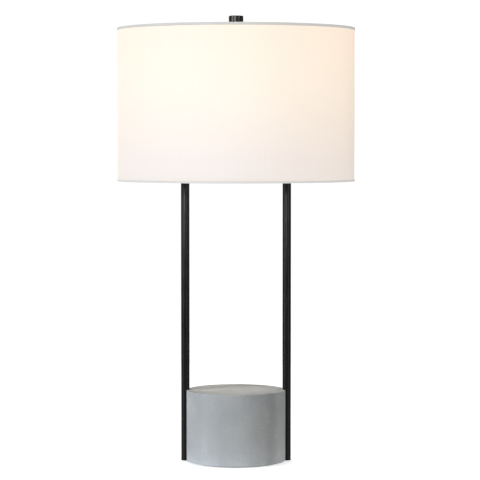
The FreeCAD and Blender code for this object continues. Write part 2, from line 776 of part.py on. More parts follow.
def make_stem():
    """The boss on the crossbar, the threaded stem in it, and the washer and nut that clamp the saddle."""
    bore = "stem_radius + stem_gap"
    keep(put(tube("Boss", "boss_radius", bore, "boss_height - slack"), z="bar_top + slack"), "threaded_boss")
    body = revolved("Stem", [
        ("stem_bore", "0"),
        ("stem_radius - screw_end", "0"),
        ("stem_radius", "screw_end"),
        ("stem_radius", "stem_length - screw_end"),
        ("stem_radius - screw_end", "stem_length"),
        ("stem_bore", "stem_length"),
    ])
    keep(put(body, z="bar_top + 4 * slack"), "threaded_stem")
    keep(put(tube("Washer", "lock_radius", bore, "lock_thickness"), z="saddle_top + slack"), "lock_washer")
    nut = new_body("Nut")
    outline = new_sketch(nut, "XY_Plane")
    draw_hexagon(outline, "nut_corner")
    draw_circle(outline, bore)
    pad(nut, outline, "nut_height")
    keep(put(nut, z="saddle_top + lock_thickness + 2 * slack"), "hex_nut")


# ---------------------------------------------------------------- harp

def make_saddle():
    """The bent strip under the socket whose two narrow tips hold the harp."""
    body = new_body("Saddle")
    inside = "saddle_reach - saddle_thickness"
    strip = new_sketch(body, "XZ_Plane", "-saddle_width / 2")
    draw_outline(strip, [
        ("-saddle_reach", "0"),
        ("saddle_reach", "0"),
        ("saddle_reach", "saddle_tip"),
        (inside, "saddle_tip"),
        (inside, "saddle_thickness"),
        (f"-({inside})", "saddle_thickness"),
        (f"-({inside})", "saddle_tip"),
        ("-saddle_reach", "saddle_tip"),
    ])
    pad(body, strip, "saddle_width")
    sides = new_sketch(body, "YZ_Plane", "-saddle_reach - 1")
    draw_box(sides, "tip_width / 2", "saddle_shoulder", "saddle_width", "saddle_tip + 1")
    draw_box(sides, "-saddle_width", "saddle_shoulder", "-tip_width / 2", "saddle_tip + 1")
    pocket(body, sides, reverse=True)
    reach = value("saddle_reach")

    def is_outer_bend(edge, middle):
        return abs(abs(middle.x) - reach) < 0.01 and abs(middle.z) < 0.01

    dress(body, "Fillet", is_outer_bend, "saddle_thickness")
    hole = new_sketch(body, "XY_Plane")
    draw_circle(hole, "stem_radius + stem_gap + slack")
    pocket(body, hole, reverse=True)
    keep(put(body, z="boss_top"), "harp_saddle")


def make_harp():
    """The harp's wire, from one saddle tip over the bulb to the other, and its hub, seat and stud."""
    leg = value("leg_place")
    bow = value("harp_bow")
    half = [
        V(leg, 0, value("sleeve_low + screw_end")),
        V(leg, 0, value("leg_height")),
        V(bow, 0, value("bend_height - harp_straight")),
        V(bow, 0, value("bend_height + harp_straight")),
        V(value("harp_shoulder"), 0, value("crown_height")),
    ]
    radii = [value("harp_leg_bend"), bow, bow, value("harp_crown_bend")]
    other = [V(-p.x, p.y, p.z) for p in reversed(half)]
    shaped("harp_loop", swept(route(half + other, radii + radii[::-1]), value("harp_wire")))

    base = "crown_height - harp_wire - hub_drop_below"
    seat = f"(seat_top - seat_thickness - ({base}))"
    hub = revolved("HarpHub", [
        ("0", "0"),
        ("seat_radius / 2", "0"),
        ("seat_radius / 2", seat),
        ("seat_radius", seat),
        ("seat_radius", f"{seat} + seat_thickness"),
        ("stud_radius", f"{seat} + seat_thickness"),
        ("stud_radius", f"{seat} + seat_thickness + stud_length - stud_edge"),
        ("stud_radius - stud_edge", f"{seat} + seat_thickness + stud_length"),
        ("0", f"{seat} + seat_thickness + stud_length"),
    ])
    bore = new_sketch(hub, "YZ_Plane", "-seat_radius")
    draw_circle(bore, "harp_wire + slack", "0", f"crown_height - ({base})")
    pocket(hub, bore, reverse=True)
    keep(put(hub, z=base), "harp_hub")


def make_sleeves():
    """The two sleeves that drop over the saddle's tips and lock the harp's legs to them."""
    for name, label, x in (
        ("LeftSleeve", "left_harp_sleeve", "-(sleeve_place)"),
        ("RightSleeve", "right_harp_sleeve", "sleeve_place"),
    ):
        outer = "sleeve_inner + sleeve_wall"
        body = revolved(name, [
            ("sleeve_inner", "0"),
            (outer, "0"),
            (outer, "sleeve_height - sleeve_taper"),
            (f"{outer} - sleeve_edge", "sleeve_height"),
            ("sleeve_inner", "sleeve_height"),
        ])
        keep(put(body, x=x, z="sleeve_low"), label)


# ---------------------------------------------------------------- socket and switch

def make_socket_cap():
    """The socket's lower cup, screwed on the threaded stem."""
    inside = "cap_radius - shell_wall"
    body = revolved("SocketCap", [
        ("stem_radius + stem_gap", "0"),
        ("cap_collar", "0"),
        ("cap_collar", "collar_height"),
        ("cap_radius - cone_edge", "cone_top"),
        ("cap_radius", "cone_round"),
        ("cap_radius", "cap_height"),
        (inside, "cap_height"),
        (inside, "cone_round + shell_wall / 2"),
        (f"{inside} - cone_edge", "cone_top + shell_wall"),
        ("cap_collar - shell_wall", "collar_height + shell_wall"),
        ("stem_radius + stem_gap", "collar_height + shell_wall"),
    ])
    keep(put(body, z="cap_low"), "socket_cap")


def make_side_hole(body, level, radius):
    """A round hole from a body's middle out through its front."""
    hole = new_sketch(body, "XZ_Plane")
    draw_circle(hole, radius, "0", level)
    pocket(body, hole, reverse=True)


def make_socket_shell():
    """The socket's upper shell with its rolled lip, and the paper liner inside it."""
    outside = "cap_radius - shell_wall - slack"
    inside = "cap_radius - 2 * shell_wall - slack"
    shell = revolved("SocketShell", [
        (inside, "0"),
        (outside, "0"),
        (outside, "shell_height - shell_lip - shell_wall"),
        ("cap_radius", "shell_height - shell_lip"),
        ("cap_radius", "shell_height"),
        (inside, "shell_height"),
    ])
    make_side_hole(shell, "shaft_height - shell_low", "shell_hole")
    keep(put(shell, z="shell_low"), "socket_shell")
    liner = revolved("SocketLiner", [
        (f"{inside} - slack - liner_wall", "0"),
        (f"{inside} - slack", "0"),
        (f"{inside} - slack", "shell_height - 1"),
        (f"{inside} - slack - liner_wall", "shell_height - 1"),
    ])
    make_side_hole(liner, "shaft_height - shell_low", "shell_hole")
    keep(put(liner, z="shell_low"), "socket_liner")


def make_switch():
    """The moulded core that holds the switch, its shaft and its fluted knob."""
    core = revolved("SwitchCore", [
        ("0", "0"),
        ("core_radius", "0"),
        ("core_radius", "core_top - core_low"),
        ("0", "core_top - core_low"),
    ])
    notches = new_sketch(core, "XY_Plane")
    draw_box(notches, "core_flat", "-core_notch", "core_radius + 1", "core_notch")
    draw_box(notches, "-core_radius - 1", "-core_notch", "-core_flat", "core_notch")
    pocket(core, notches, "notch_height", reverse=True)
    inner = "core_flat - terminal_shank"
    for offset, reverse in ((inner, True), (f"-({inner})", False)):
        tap = new_sketch(core, "YZ_Plane", offset)
        draw_circle(tap, "terminal_screw + slack", "0", "terminal_height")
        pocket(core, tap, reverse=reverse)
    make_side_hole(core, "shaft_height - core_low", "shaft_radius + slack")
    keep(put(core, z="core_low"), "switch_core")

    shaft = turn(cylinder("SwitchShaft", "shaft_radius", "shaft_length"), V(1, 0, 0), 90)
    keep(put(shaft, y="-1", z="shaft_height"), "switch_shaft")

    knob = revolved("SwitchKnob", [
        ("shaft_radius", "0"),
        ("knob_radius - knob_edge", "0"),
        ("knob_radius", "knob_edge"),
        ("knob_radius", "knob_length - knob_top_edge"),
        ("knob_radius - knob_top_edge", "knob_length"),
        ("0", "knob_length"),
        ("0", "knob_length - knob_cap"),
        ("shaft_radius", "knob_length - knob_cap"),
    ])
    flute = new_sketch(knob, "XY_Plane")
    draw_circle(flute, "flute_radius", "flute_place")
    cut = pocket(knob, flute, reverse=True)
    flutes = knob.newObject("PartDesign::PolarPattern", "SwitchKnob_flutes")
    flutes.Originals = [cut]
    flutes.Axis = (flute, ["N_Axis"])
    flutes.Angle = ROUND
    flutes.Occurrences = 12
    knob.Tip = flutes
    doc.recompute()
    turn(knob, V(1, 0, 0), 90)
    keep(put(knob, y="-knob_place", z="shaft_height"), "switch_knob")


def make_socket_contacts():
    """The threaded shell and the spring contact on the core, and the two terminal screws on its sides."""
    inner = "screw_shell_radius - shell_contact"
    shell = revolved("ScrewShell", [
        ("core_flat", "0"),
        ("screw_shell_radius", "0"),
        ("screw_shell_radius", "shell_top - core_top - 1"),
        (inner, "shell_top - core_top - 1"),
        (inner, "shell_contact"),
        ("core_flat", "shell_contact"),
    ])
    keep(put(shell, z="core_top + slack"), "screw_shell")

    contact = new_body("Contact")
    bend = new_sketch(contact, "XZ_Plane", "-contact_width / 2")
    rise = "contact_top - core_top - slack"
    draw_outline(bend, [
        ("-contact_foot", "0"),
        ("-contact_heel", "0"),
        ("-contact_knee", f"{rise} - shell_contact"),
        ("contact_tongue", f"{rise} - shell_contact"),
        ("contact_tongue", rise),
        ("-contact_knee - contact_bend", rise),
        ("-contact_heel - contact_bend", "shell_contact"),
        ("-contact_foot", "shell_contact"),
    ])
    pad(contact, bend, "contact_width")
    keep(put(contact, z="core_top + slack"), "centre_contact")

    top = "(terminal_shank + terminal_head)"
    screw = revolved("TerminalScrew", [
        ("0", "2 * slack"),
        ("terminal_screw", "2 * slack"),
        ("terminal_screw", "terminal_shank + slack"),
        ("2 * terminal_screw", "terminal_shank + slack"),
        ("2 * terminal_screw", f"{top} - terminal_edge"),
        ("2 * terminal_screw - terminal_edge", top),
        ("0", top),
    ])
    cut_slot(screw, top, "2 * terminal_screw")
    turn(screw, V(0, 1, 0), 90)
    put(screw, x="core_flat - terminal_shank", z="core_low + terminal_height")
    keep(pair("TerminalScrew_pair", screw), "terminal_screws")


# ---------------------------------------------------------------- bulb

def glass_profile(inset):
    """One side of the bulb's glass, from the neck to the top: a neck, a hollow curve, a cone and a ball."""
    ball = value("bulb_radius") - inset
    neck = value("bulb_neck") - inset
    hollow = value("bulb_radius") + inset
    centre = value("bulb_length - bulb_radius")
    low = value("bulb_cap_top + slack")
    slope = math.radians(35)
    meet = V(ball * math.cos(slope), 0, centre - ball * math.sin(slope))
    run = (meet.x - neck) / math.sin(slope)
    corner = V(neck, 0, meet.z - run * math.cos(slope))
    edges = route([V(neck, 0, low), corner, meet], [hollow])
    side = V(ball, 0, centre)
    edges.append(Part.Arc(meet, side, V(0, 0, centre + ball)).toShape())
    return edges


def make_bulb_glass():
    outside = glass_profile(0)
    inside = glass_profile(value("bulb_wall"))
    ends = [
        Part.makeLine(outside[0].firstVertex().Point, inside[0].firstVertex().Point),
        Part.makeLine(outside[-1].lastVertex().Point, inside[-1].lastVertex().Point),
    ]
    face = Part.Face(Part.Wire(Part.__sortEdges__(outside + inside + ends)))
    solid = face.revolve(V(0, 0, 0), UP, ROUND)
    item = shaped("bulb_glass", solid)
    put(item, z="bulb_low")


def make_bulb_base():
    """The bulb's contact tip, its black insulator and its screw cap with rolled ridges."""
    tip = revolved("BulbTip", [
        ("0", "0"),
        ("tip_radius - tip_edge", "0"),
        ("tip_radius", "tip_round"),
        ("tip_radius", "tip_height"),
        ("0", "tip_height"),
    ])
    keep(put(tip, z="bulb_low"), "bulb_tip")
    insulator = revolved("BulbInsulator", [
        ("0", "tip_height + slack"),
        ("tip_radius", "tip_height + slack"),
        ("insulator_radius", "insulator_cone"),
        ("insulator_radius", "insulator_top"),
        ("0", "insulator_top"),
    ])
    keep(put(insulator, z="bulb_low"), "bulb_insulator")
    root = "cap_thread - cap_depth"
    inner = "cap_thread - cap_depth - cap_sheet"
    rim = "cap_thread - cap_rim"
    ridges = 4
    outline = [(rim, "insulator_cone"), ("cap_thread - cap_rim_round", "insulator_cone"), (root, "cap_foot")]
    for ridge in range(ridges):
        start = f"cap_thread_low + {ridge} * thread_pitch"
        outline.append((root, start))
        outline.append(("cap_thread", f"{start} + thread_pitch * 0.4"))
        outline.append(("cap_thread", f"{start} + thread_pitch * 0.6"))
    outline.append((root, f"cap_thread_low + {ridges} * thread_pitch"))
    outline += [(root, "bulb_cap_top"), (inner, "bulb_cap_top")]
    outline += [(inner, "insulator_top + 2 * slack"), (rim, "insulator_top + 2 * slack")]
    cap = revolved("BulbCap", outline)
    keep(put(cap, z="bulb_low"), "bulb_cap")


def make_bulb_inside():
    """The glass stem, its two support wires and the filament between them."""
    low = "bulb_cap_top + 1"
    stem = revolved("BulbStem", [
        ("0", low),
        ("flare_radius", low),
        ("flare_radius", f"{low} + flare_height"),
        ("stem_shoulder", f"{low} + shoulder_height"),
        ("stem_waist", f"{low} + waist_height"),
        ("stem_end", "stem_top"),
        ("0", "stem_top"),
    ])
    keep(put(stem, z="bulb_low"), "bulb_stem")
    top = value("stem_top")
    spread = value("filament_spread")
    wire = value("support_wire")
    foot = value("support_foot")
    high = top + spread * 1.2
    support = swept([Part.makeLine(V(foot, 0, top + 2 * wire), V(spread, 0, high))], wire)
    mirrored = support.mirror(V(0, 0, 0), V(1, 0, 0))
    put(shaped("bulb_supports", Part.makeCompound([support, mirrored])), z="bulb_low")
    level = high + 2.5 * wire
    arc = Part.Arc(V(-spread, 0, level), V(0, 0, level + spread * 0.2), V(spread, 0, level))
    put(shaped("bulb_filament", swept([arc.toShape()], wire)), z="bulb_low")


# ---------------------------------------------------------------- shade and finial

def make_shade_skin():
    """The fabric and the stiff liner bonded behind it: two thin drums open at both ends."""
    low = "shade_bottom + trim_thickness + slack"
    height = "shade_height - 2 * (trim_thickness + slack)"
    keep(put(tube("Fabric", "fabric_outer", "fabric_inner", height), z=low), "shade_fabric")
    keep(put(tube("Liner", "liner_outer", "liner_inner", height), z=low), "shade_liner")


def make_shade_rings():
    """The ring wires inside the top and bottom edge."""
    for name, label, z in (
        ("TopRing", "top_ring", "top_ring_height"),
        ("BottomRing", "bottom_ring", "shade_bottom + trim_thickness + slack + ring_wire"),
    ):
        ring = doc.addObject("Part::Torus", name)
        bind(ring, Radius1="ring_radius", Radius2="ring_wire")
        keep(put(ring, z=z), label)


def make_trims():
    """The folded fabric tape round each edge, over the outside, the edge and the ring behind it."""
    outer = "shade_radius"
    behind = "ring_radius - ring_wire - slack"
    for name, label, height, flip in (
        ("TopTrim", "top_trim", "trim_height", False),
        ("BottomTrim", "bottom_trim", "low_trim_height", True),
    ):
        edge = "0" if flip else height
        free = height if flip else "0"
        under = "trim_thickness" if flip else f"{height} - trim_thickness"
        body = revolved(name, [
            (f"{outer} - trim_thickness", free),
            (outer, free),
            (outer, edge),
            (f"{behind} - trim_thickness", edge),
            (f"{behind} - trim_thickness", free),
            (behind, free),
            (behind, under),
            (f"{outer} - trim_thickness", under),
        ])
        keep(put(body, z="shade_bottom" if flip else f"shade_top - {height}"), label)


def make_spider():
    """The hub that drops over the harp's stud, and the three arms from it to the top ring."""
    keep(put(tube("SpiderHub", "hub_radius", "hub_bore", "hub_thickness"), z="hub_low"), "spider_hub")
    level = value("hub_low + hub_thickness / 2")
    end = value("ring_radius")
    top = value("top_ring_height - ring_wire - slack")
    start = value("hub_radius + slack")
    bend = value("3 * arm_wire")
    arm = swept(route([V(start, 0, level), V(end, 0, level), V(end, 0, top)], [bend]), value("arm_wire"))
    arms = []
    for direction in (90, 210, 330):
        one = arm.copy()
        one.rotate(V(0, 0, 0), UP, direction)
        arms.append(one)
    shaped("spider_arms", Part.makeCompound(arms))


def make_finial():
    """The two washers that clamp the spider hub, and the turned finial."""
    for name, label, z in (
        ("SeatWasher", "shade_seat_washer", "seat_top + slack"),
        ("FinialWasher", "finial_washer", "finial_washer_low"),
    ):
        keep(put(tube(name, "washer_radius", "washer_bore", "washer_thickness"), z=z), label)
    bore = "stud_radius + slack"
    height = "(lamp_height - finial_low)"
    body = revolved("Finial", [
        (bore, "0"),
        ("finial_neck", "0"),
        ("finial_neck", "neck_height"),
        ("finial_radius - head_edge", "neck_height"),
        ("finial_radius", "neck_height + head_edge"),
        ("finial_radius", f"{height} - head_top_edge"),
        ("finial_radius - head_top_edge", height),
        ("0", height),
        ("0", "stud_length - 2 * finial_drill"),
        (bore, "stud_length - 3 * finial_drill"),
    ])
    keep(put(body, z="finial_low"), "finial")


# ---------------------------------------------------------------- leads

def make_lead(label, side):
    """One lead: socket terminal, stem, crossbar, right rod, passage in the block, terminal strip.

    The side is +1 or -1: it picks the terminal, and the side of the middle plane the lead keeps to.
    """
    y = side * value("lead_side")
    start = side * value("lead_start")
    terminal = value("core_low + terminal_height - 2 * terminal_screw - slack")
    cup = value("cap_low + lead_cup")
    throat = value("cap_low + lead_throat")
    across = value("bar_middle")
    rod = value("rod_place")
    out = value("lead_height")
    clamp_y = side * value("barrel_place")
    clamp_z = value("strip_low + strip_height / 2")
    mouth = value("strip_place + barrel_length / 2")
    points = [
        V(start, y, terminal),
        V(start, y, cup),
        V(0, y, throat),
        V(0, y, across),
        V(rod, y, across),
        V(rod, y, out),
        V(mouth + value("lead_turn"), y, out),
        V(mouth + value("lead_straight"), clamp_y, clamp_z),
        V(mouth - value("lead_grip"), clamp_y, clamp_z),
    ]
    radii = [2.2, 2.2, 3, 3.2, 3.2, 6, 5]
    shaped(label, swept(route(points, radii), value("lead_radius")))


def check_all():
    """Stops unless every object is sound and every sub-part is a valid shape."""
    doc.recompute()
    for item in doc.Objects:
        if {"Invalid", "Error"} & set(item.State):
            raise RuntimeError(f"{item.Label} is {item.State}")
    for item in subparts:
        if item.Shape.isNull() or not item.Shape.isValid():
            raise RuntimeError(f"{item.Label} has no valid shape")


make_felt()
make_block()
make_foot_bar()
make_flat_screws("RodScrew", "rod_screws", "rod_place", "rod_screw")
make_flat_screws("BlockScrew", "block_screws", "insert_place", "block_screw")
make_inserts()
make_rod_ends()
make_grommet()
make_terminal_strip()
make_rod("LeftRod", "left_rod", "-rod_place", False)
make_rod("RightRod", "right_rod", "rod_place", True)
make_crossbar()
make_stem()
make_saddle()
make_harp()
make_sleeves()
make_socket_cap()
make_socket_shell()
make_switch()
make_socket_contacts()
make_bulb_base()
make_bulb_glass()
make_bulb_inside()
make_shade_skin()
make_shade_rings()
make_trims()
make_spider()
make_finial()
make_lead("lead_wire_live", 1)
make_lead("lead_wire_neutral", -1)
check_all()
os.makedirs("parts", exist_ok=True)
for subpart in subparts:
    subpart.Shape.exportStep(f"parts/{subpart.Label}.step")
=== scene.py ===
"""Looks for a table lamp with a drum shade: studio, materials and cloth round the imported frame."""

import json
import math
import random

import bmesh
import bpy
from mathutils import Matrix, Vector, noise


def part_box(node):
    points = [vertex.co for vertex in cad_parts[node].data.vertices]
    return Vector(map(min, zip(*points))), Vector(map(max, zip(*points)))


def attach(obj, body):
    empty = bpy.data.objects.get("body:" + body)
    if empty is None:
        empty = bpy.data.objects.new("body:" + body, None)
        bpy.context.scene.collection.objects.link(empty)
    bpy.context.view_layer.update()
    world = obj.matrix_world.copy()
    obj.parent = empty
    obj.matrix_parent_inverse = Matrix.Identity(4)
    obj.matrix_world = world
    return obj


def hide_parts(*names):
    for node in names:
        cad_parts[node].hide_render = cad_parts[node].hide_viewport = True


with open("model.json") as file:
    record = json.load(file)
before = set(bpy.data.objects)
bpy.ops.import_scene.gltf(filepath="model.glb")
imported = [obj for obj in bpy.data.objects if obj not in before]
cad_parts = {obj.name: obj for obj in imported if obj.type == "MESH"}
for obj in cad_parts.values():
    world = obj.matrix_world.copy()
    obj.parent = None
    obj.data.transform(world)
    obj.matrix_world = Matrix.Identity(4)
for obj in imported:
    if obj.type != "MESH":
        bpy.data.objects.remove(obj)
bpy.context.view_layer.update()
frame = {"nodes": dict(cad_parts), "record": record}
NODES = frame["nodes"]

MM = 0.001
TURN = 2 * math.pi

# The camera, fitted to the photo's outlines: millimetres, metres and degrees.
SENSOR_WIDTH = 36.0
LENS = 163.3
CAMERA_PLACE = (0.006, -3.264, 0.4845)
CAMERA_DOWN = 2.651
CAMERA_REACH = 100.0

# What the lights aim at, and their colours.
LAMP_MIDDLE = (0.0, 0.0, 0.3)
SHADE_FRONT = (0.0, 0.0, 0.52)
UNDER_SHADE = (0.0, 0.0, 0.1)
COOL = (0.92, 0.965, 1.0)
WARM = (1.0, 0.97, 0.94)
FRONT_WARM = (1.0, 0.98, 0.94)
SOFT_WARM = (1.0, 0.98, 0.95)
BULB_WARM = (1.0, 0.87, 0.74)
WIDE = 180.0

# Each light: name, place, aim, size in metres, power in watts, colour, spread in degrees.
LIGHTS = [
    ("Key", (-2.6, -1.5, 1.3), LAMP_MIDDLE, (0.6, 2.0), 77.0, COOL, WIDE),
    ("Rim", (2.7, 0.7, 1.0), LAMP_MIDDLE, (0.4, 1.6), 3.6, WARM, WIDE),
    ("Fill", (2.4, -2.2, 1.0), LAMP_MIDDLE, (0.3, 1.6), 29.0, WARM, WIDE),
    ("Front", (-0.4, -1.6, 0.62), SHADE_FRONT, (0.7, 0.2), 0.66, FRONT_WARM, 22.0),
    ("Back", (-1.4, 2.8, 1.6), LAMP_MIDDLE, (2.0, 1.6), 22.0, SOFT_WARM, WIDE),
    ("Overhead", (0.0, 0.2, 3.0), LAMP_MIDDLE, (3.0, 3.0), 8.0, SOFT_WARM, WIDE),
    ("Down", (0.0, 0.0, 0.412), UNDER_SHADE, (0.12, 0.12), 0.029, BULB_WARM, 32.0),
]

# The room's own light, and how bright it looks to the camera.
ROOM_COLOUR = (0.93, 0.965, 1.0, 1.0)
ROOM_STRENGTH = 0.06
ROOM_SEEN = 1.05
WHITE = (1.0, 1.0, 1.0, 1.0)

FLOOR_REACH = 1.4
FLOOR_SIDES = 96
# A painted contact shadow: under the block the floor's glow drops to the share below, between two
# distances from the lamp's axis.
FLOOR_SHADOW = 0.7
SHADOW_FROM, SHADOW_TO = 0.073, 0.1
# The share of that glow that lights the lamp.
FLOOR_LIGHT = 0.2


# ---------------------------------------------------------------- camera, floor and light

def make_camera():
    """A long lens 3.26 m in front of the lamp, level with its socket and tilted a little down."""
    data = bpy.data.cameras.new("Camera")
    data.sensor_width = SENSOR_WIDTH
    data.lens = LENS
    data.clip_end = CAMERA_REACH
    camera = bpy.data.objects.new("Camera", data)
    camera.location = CAMERA_PLACE
    camera.rotation_euler = (math.radians(90 - CAMERA_DOWN), 0.0, 0.0)
    bpy.context.scene.collection.objects.link(camera)
    bpy.context.scene.camera = camera


def add_area(name, place, aim, size, power, colour, spread):
    """A soft box that shines from place towards aim, and that the camera doesn't see."""
    data = bpy.data.lights.new(name, "AREA")
    data.shape = "RECTANGLE"
    data.size, data.size_y = size
    data.energy = power
    data.spread = math.radians(spread)
    data.color = colour
    light = bpy.data.objects.new(name, data)
    light.location = place
    light.rotation_euler = (Vector(aim) - Vector(place)).to_track_quat("-Z", "Y").to_euler()
    light.visible_camera = False
    bpy.context.scene.collection.objects.link(light)


def make_room():
    """A world that looks white to the camera and gives the lamp only a faint cool light."""
    world = bpy.data.worlds.new("Studio")
    world.use_nodes = True
    tree = world.node_tree
    background = tree.nodes["Background"]
    background.inputs["Color"].default_value = ROOM_COLOUR
    background.inputs["Strength"].default_value = ROOM_STRENGTH
    seen = tree.nodes.new("ShaderNodeBackground")
    seen.inputs["Color"].default_value = WHITE
    seen.inputs["Strength"].default_value = ROOM_SEEN
    path = tree.nodes.new("ShaderNodeLightPath")
    mix = tree.nodes.new("ShaderNodeMixShader")
    tree.links.new(path.outputs["Is Camera Ray"], mix.inputs[0])
    tree.links.new(background.outputs[0], mix.inputs[1])
    tree.links.new(seen.outputs[0], mix.inputs[2])
    tree.links.new(mix.outputs[0], tree.nodes["World Output"].inputs["Surface"])
    bpy.context.scene.world = world


def make_studio():
    """A white room, seven soft boxes and a round pale floor.

    Five of the boxes light the whole lamp. Front is narrow and aims at the shade, and Down hangs
    under it.
    """
    make_room()
    scene = bpy.context.scene
    scene.view_settings.view_transform = "Standard"
    scene.view_settings.look = "None"
    for light in LIGHTS:
        add_area(*light)

    turns = [TURN * k / FLOOR_SIDES for k in range(FLOOR_SIDES)]
    corners = [(FLOOR_REACH * math.cos(a), FLOOR_REACH * math.sin(a), 0.0) for a in turns]
    mesh = bpy.data.meshes.new("Floor")
    mesh.from_pydata(corners, [], [range(FLOOR_SIDES)])
    floor = bpy.data.objects.new("Floor", mesh)
    scene.collection.objects.link(floor)
    floor_paint().on(floor)


# ---------------------------------------------------------------- materials

class Look:
    """One material, built node by node on top of a Principled shader.

    Patterns are in the object's own metres.
    """

    def __init__(self, name, colour, roughness, metallic=0.0, **sockets):
        self.material = bpy.data.materials.new(name)
        self.material.use_nodes = True
        self.tree = self.material.node_tree
        self.shader = self.tree.nodes["Principled BSDF"]
        self.place = self.tree.nodes.new("ShaderNodeTexCoord").outputs["Object"]
        self.set("Base Color", (*colour, 1.0))
        self.set("Roughness", roughness)
        self.set("Metallic", metallic)
        for socket, value in sockets.items():
            self.set(socket.replace("_", " "), value)
        self.normal = None

    def feed(self, socket, value):
        """Links an output to a socket, or gives the socket a plain value."""
        if isinstance(value, bpy.types.NodeSocket):
            self.tree.links.new(value, socket)
        else:
            socket.default_value = value

    def set(self, socket, value):
        """Feeds a socket of the shader."""
        self.feed(self.shader.inputs[socket], value)

    def node(self, kind, inputs=(), **settings):
        """Adds a node. inputs are pairs of a socket and a value or an output."""
        made = self.tree.nodes.new("ShaderNode" + kind)
        for name, value in settings.items():
            setattr(made, name, value)
        for socket, value in inputs:
            self.feed(made.inputs[socket], value)
        return made

    def stretch(self, scale, source=None):
        """The place, or another source, scaled by its own amount along each axis."""
        return self.node("Mapping", [("Vector", source or self.place), ("Scale", scale)]).outputs[0]

    def height(self):
        """The height of the place, as it is at rest."""
        return self.node("SeparateXYZ", [(0, self.place)]).outputs[2]

    def noise(self, scale, detail=2.0, place=None, roughness=0.5):
        """Cloudy noise about 0.5."""
        inputs = [
            ("Vector", place or self.place),
            ("Scale", scale),
            ("Detail", detail),
            ("Roughness", roughness),
        ]
        return self.node("TexNoise", inputs).outputs[0]

    def cells(self, scale):
        """The distance from the nearest of some scattered points."""
        inputs = [("Vector", self.place), ("Scale", scale)]
        return self.node("TexVoronoi", inputs, feature="F1").outputs["Distance"]

    def math(self, operation, first, second=0.0, third=0.0):
        """A Math node's result."""
        inputs = [(0, first), (1, second), (2, third)]
        return self.node("Math", inputs, operation=operation).outputs[0]

    def range(self, value, low, high, to_low=0.0, to_high=1.0, smooth=False):
        """A value's range low to high mapped to another, clamped."""
        inputs = [
            ("Value", value),
            ("From Min", low),
            ("From Max", high),
            ("To Min", to_low),
            ("To Max", to_high),
        ]
        kind = "SMOOTHSTEP" if smooth else "LINEAR"
        return self.node("MapRange", inputs, interpolation_type=kind, clamp=True).outputs[0]

    def ramp(self, factor, *stops):
        """A colour ramp through (position, colour) stops."""
        made = self.node("ValToRGB", [(0, factor)])
        elements = made.color_ramp.elements
        while len(elements) < len(stops):
            elements.new(0.5)
        for element, (position, colour) in zip(elements, stops):
            element.position = position
            element.color = (*colour, 1.0)
        return made.outputs[0]

    def mix(self, factor, first, second, blend="MIX"):
        """Two colours mixed. Each is an output or three numbers."""
        made = self.node("Mix", [(0, factor)], data_type="RGBA", blend_type=blend)
        for socket, value in ((6, first), (7, second)):
            is_output = isinstance(value, bpy.types.NodeSocket)
            self.feed(made.inputs[socket], value if is_output else (*value, 1.0))
        return made.outputs[2]

    def scaled(self, colour, level):
        """A colour times a level."""
        grey = self.node("CombineColor", [(0, level), (1, level), (2, level)]).outputs[0]
        return self.mix(1.0, colour, grey, "MULTIPLY")

    def bump(self, height, strength, distance):
        """Adds relief on top of any relief there is already."""
        inputs = [("Height", height), ("Strength", strength), ("Distance", distance)]
        if self.normal:
            inputs.append(("Normal", self.normal))
        self.normal = self.node("Bump", inputs).outputs[0]
        self.set("Normal", self.normal)

    def on(self, item):
        """Puts the material on an object, in place of what it has."""
        if item.material_slots:
            for each in item.material_slots:
                each.material = self.material
        else:
            item.data.materials.append(self.material)


def floor_paint():
    """White paper that glows into the white of the room, with a painted contact shadow beside the
    block.

    The camera sees the whole glow, and the lamp gets only a share of it. From underneath the paper
    is clear.
    """
    look = Look("floor_paper", (0.5, 0.5, 0.5), 0.7)
    away = look.node("VectorMath", [(0, look.place)], operation="LENGTH").outputs["Value"]
    # Painted contact shadow: the glow is dimmed near the block.
    contact_shadow = look.range(away, SHADOW_FROM, SHADOW_TO, FLOOR_SHADOW, 1.0, True)
    seen = look.node("LightPath").outputs["Is Camera Ray"]
    share = look.range(seen, 0.0, 1.0, FLOOR_LIGHT, 1.0)
    look.set("Emission Color", WHITE)
    look.set("Emission Strength", look.math("MULTIPLY", contact_shadow, share))
    underneath = look.node("NewGeometry").outputs["Backfacing"]
    look.set("Alpha", look.math("SUBTRACT", 1.0, underneath))
    look.bump(look.noise(40.0, 3.0), 0.05, 0.4 * MM)
    return look


# The concrete: clouds and streaks, painted light that pales its foot, and painted shade in a dark
# band at its right front.
CLOUD_STOPS = [
    (0.3, (0.385, 0.406, 0.42)),
    (0.52, (0.464, 0.484, 0.496)),
    (0.72, (0.543, 0.56, 0.566)),
]
STREAK_STOPS = [(0.35, (0.4, 0.418, 0.43)), (0.7, (0.522, 0.54, 0.548))]
# Painted light: this tint pales the block's foot, standing in for light thrown up by the floor.
FLOOR_BOUNCE_TINT = (1.4, 1.42, 1.44)
SAND_COLOUR = (0.3, 0.307, 0.315)
# Painted shade: the dark laid into the pinholes.
PIT_SHADE_COLOUR = (0.16, 0.16, 0.16)
# Painted shade: the colour of the dark band at the block's right front, where the light falls off
# between key and rim.
SHADE_BAND_COLOUR = (0.1, 0.105, 0.11)
# The band's middle and its reach, with heights squeezed by the stretch's third number.
BAND_STRETCH = (1.0, 1.0, 0.1)
BAND_PLACE = (0.0535, -0.052, 0.0053)
BAND_INNER, BAND_OUTER = 0.003, 0.018
BAND_DEPTH = 0.24
BAND_WANDER = 0.012


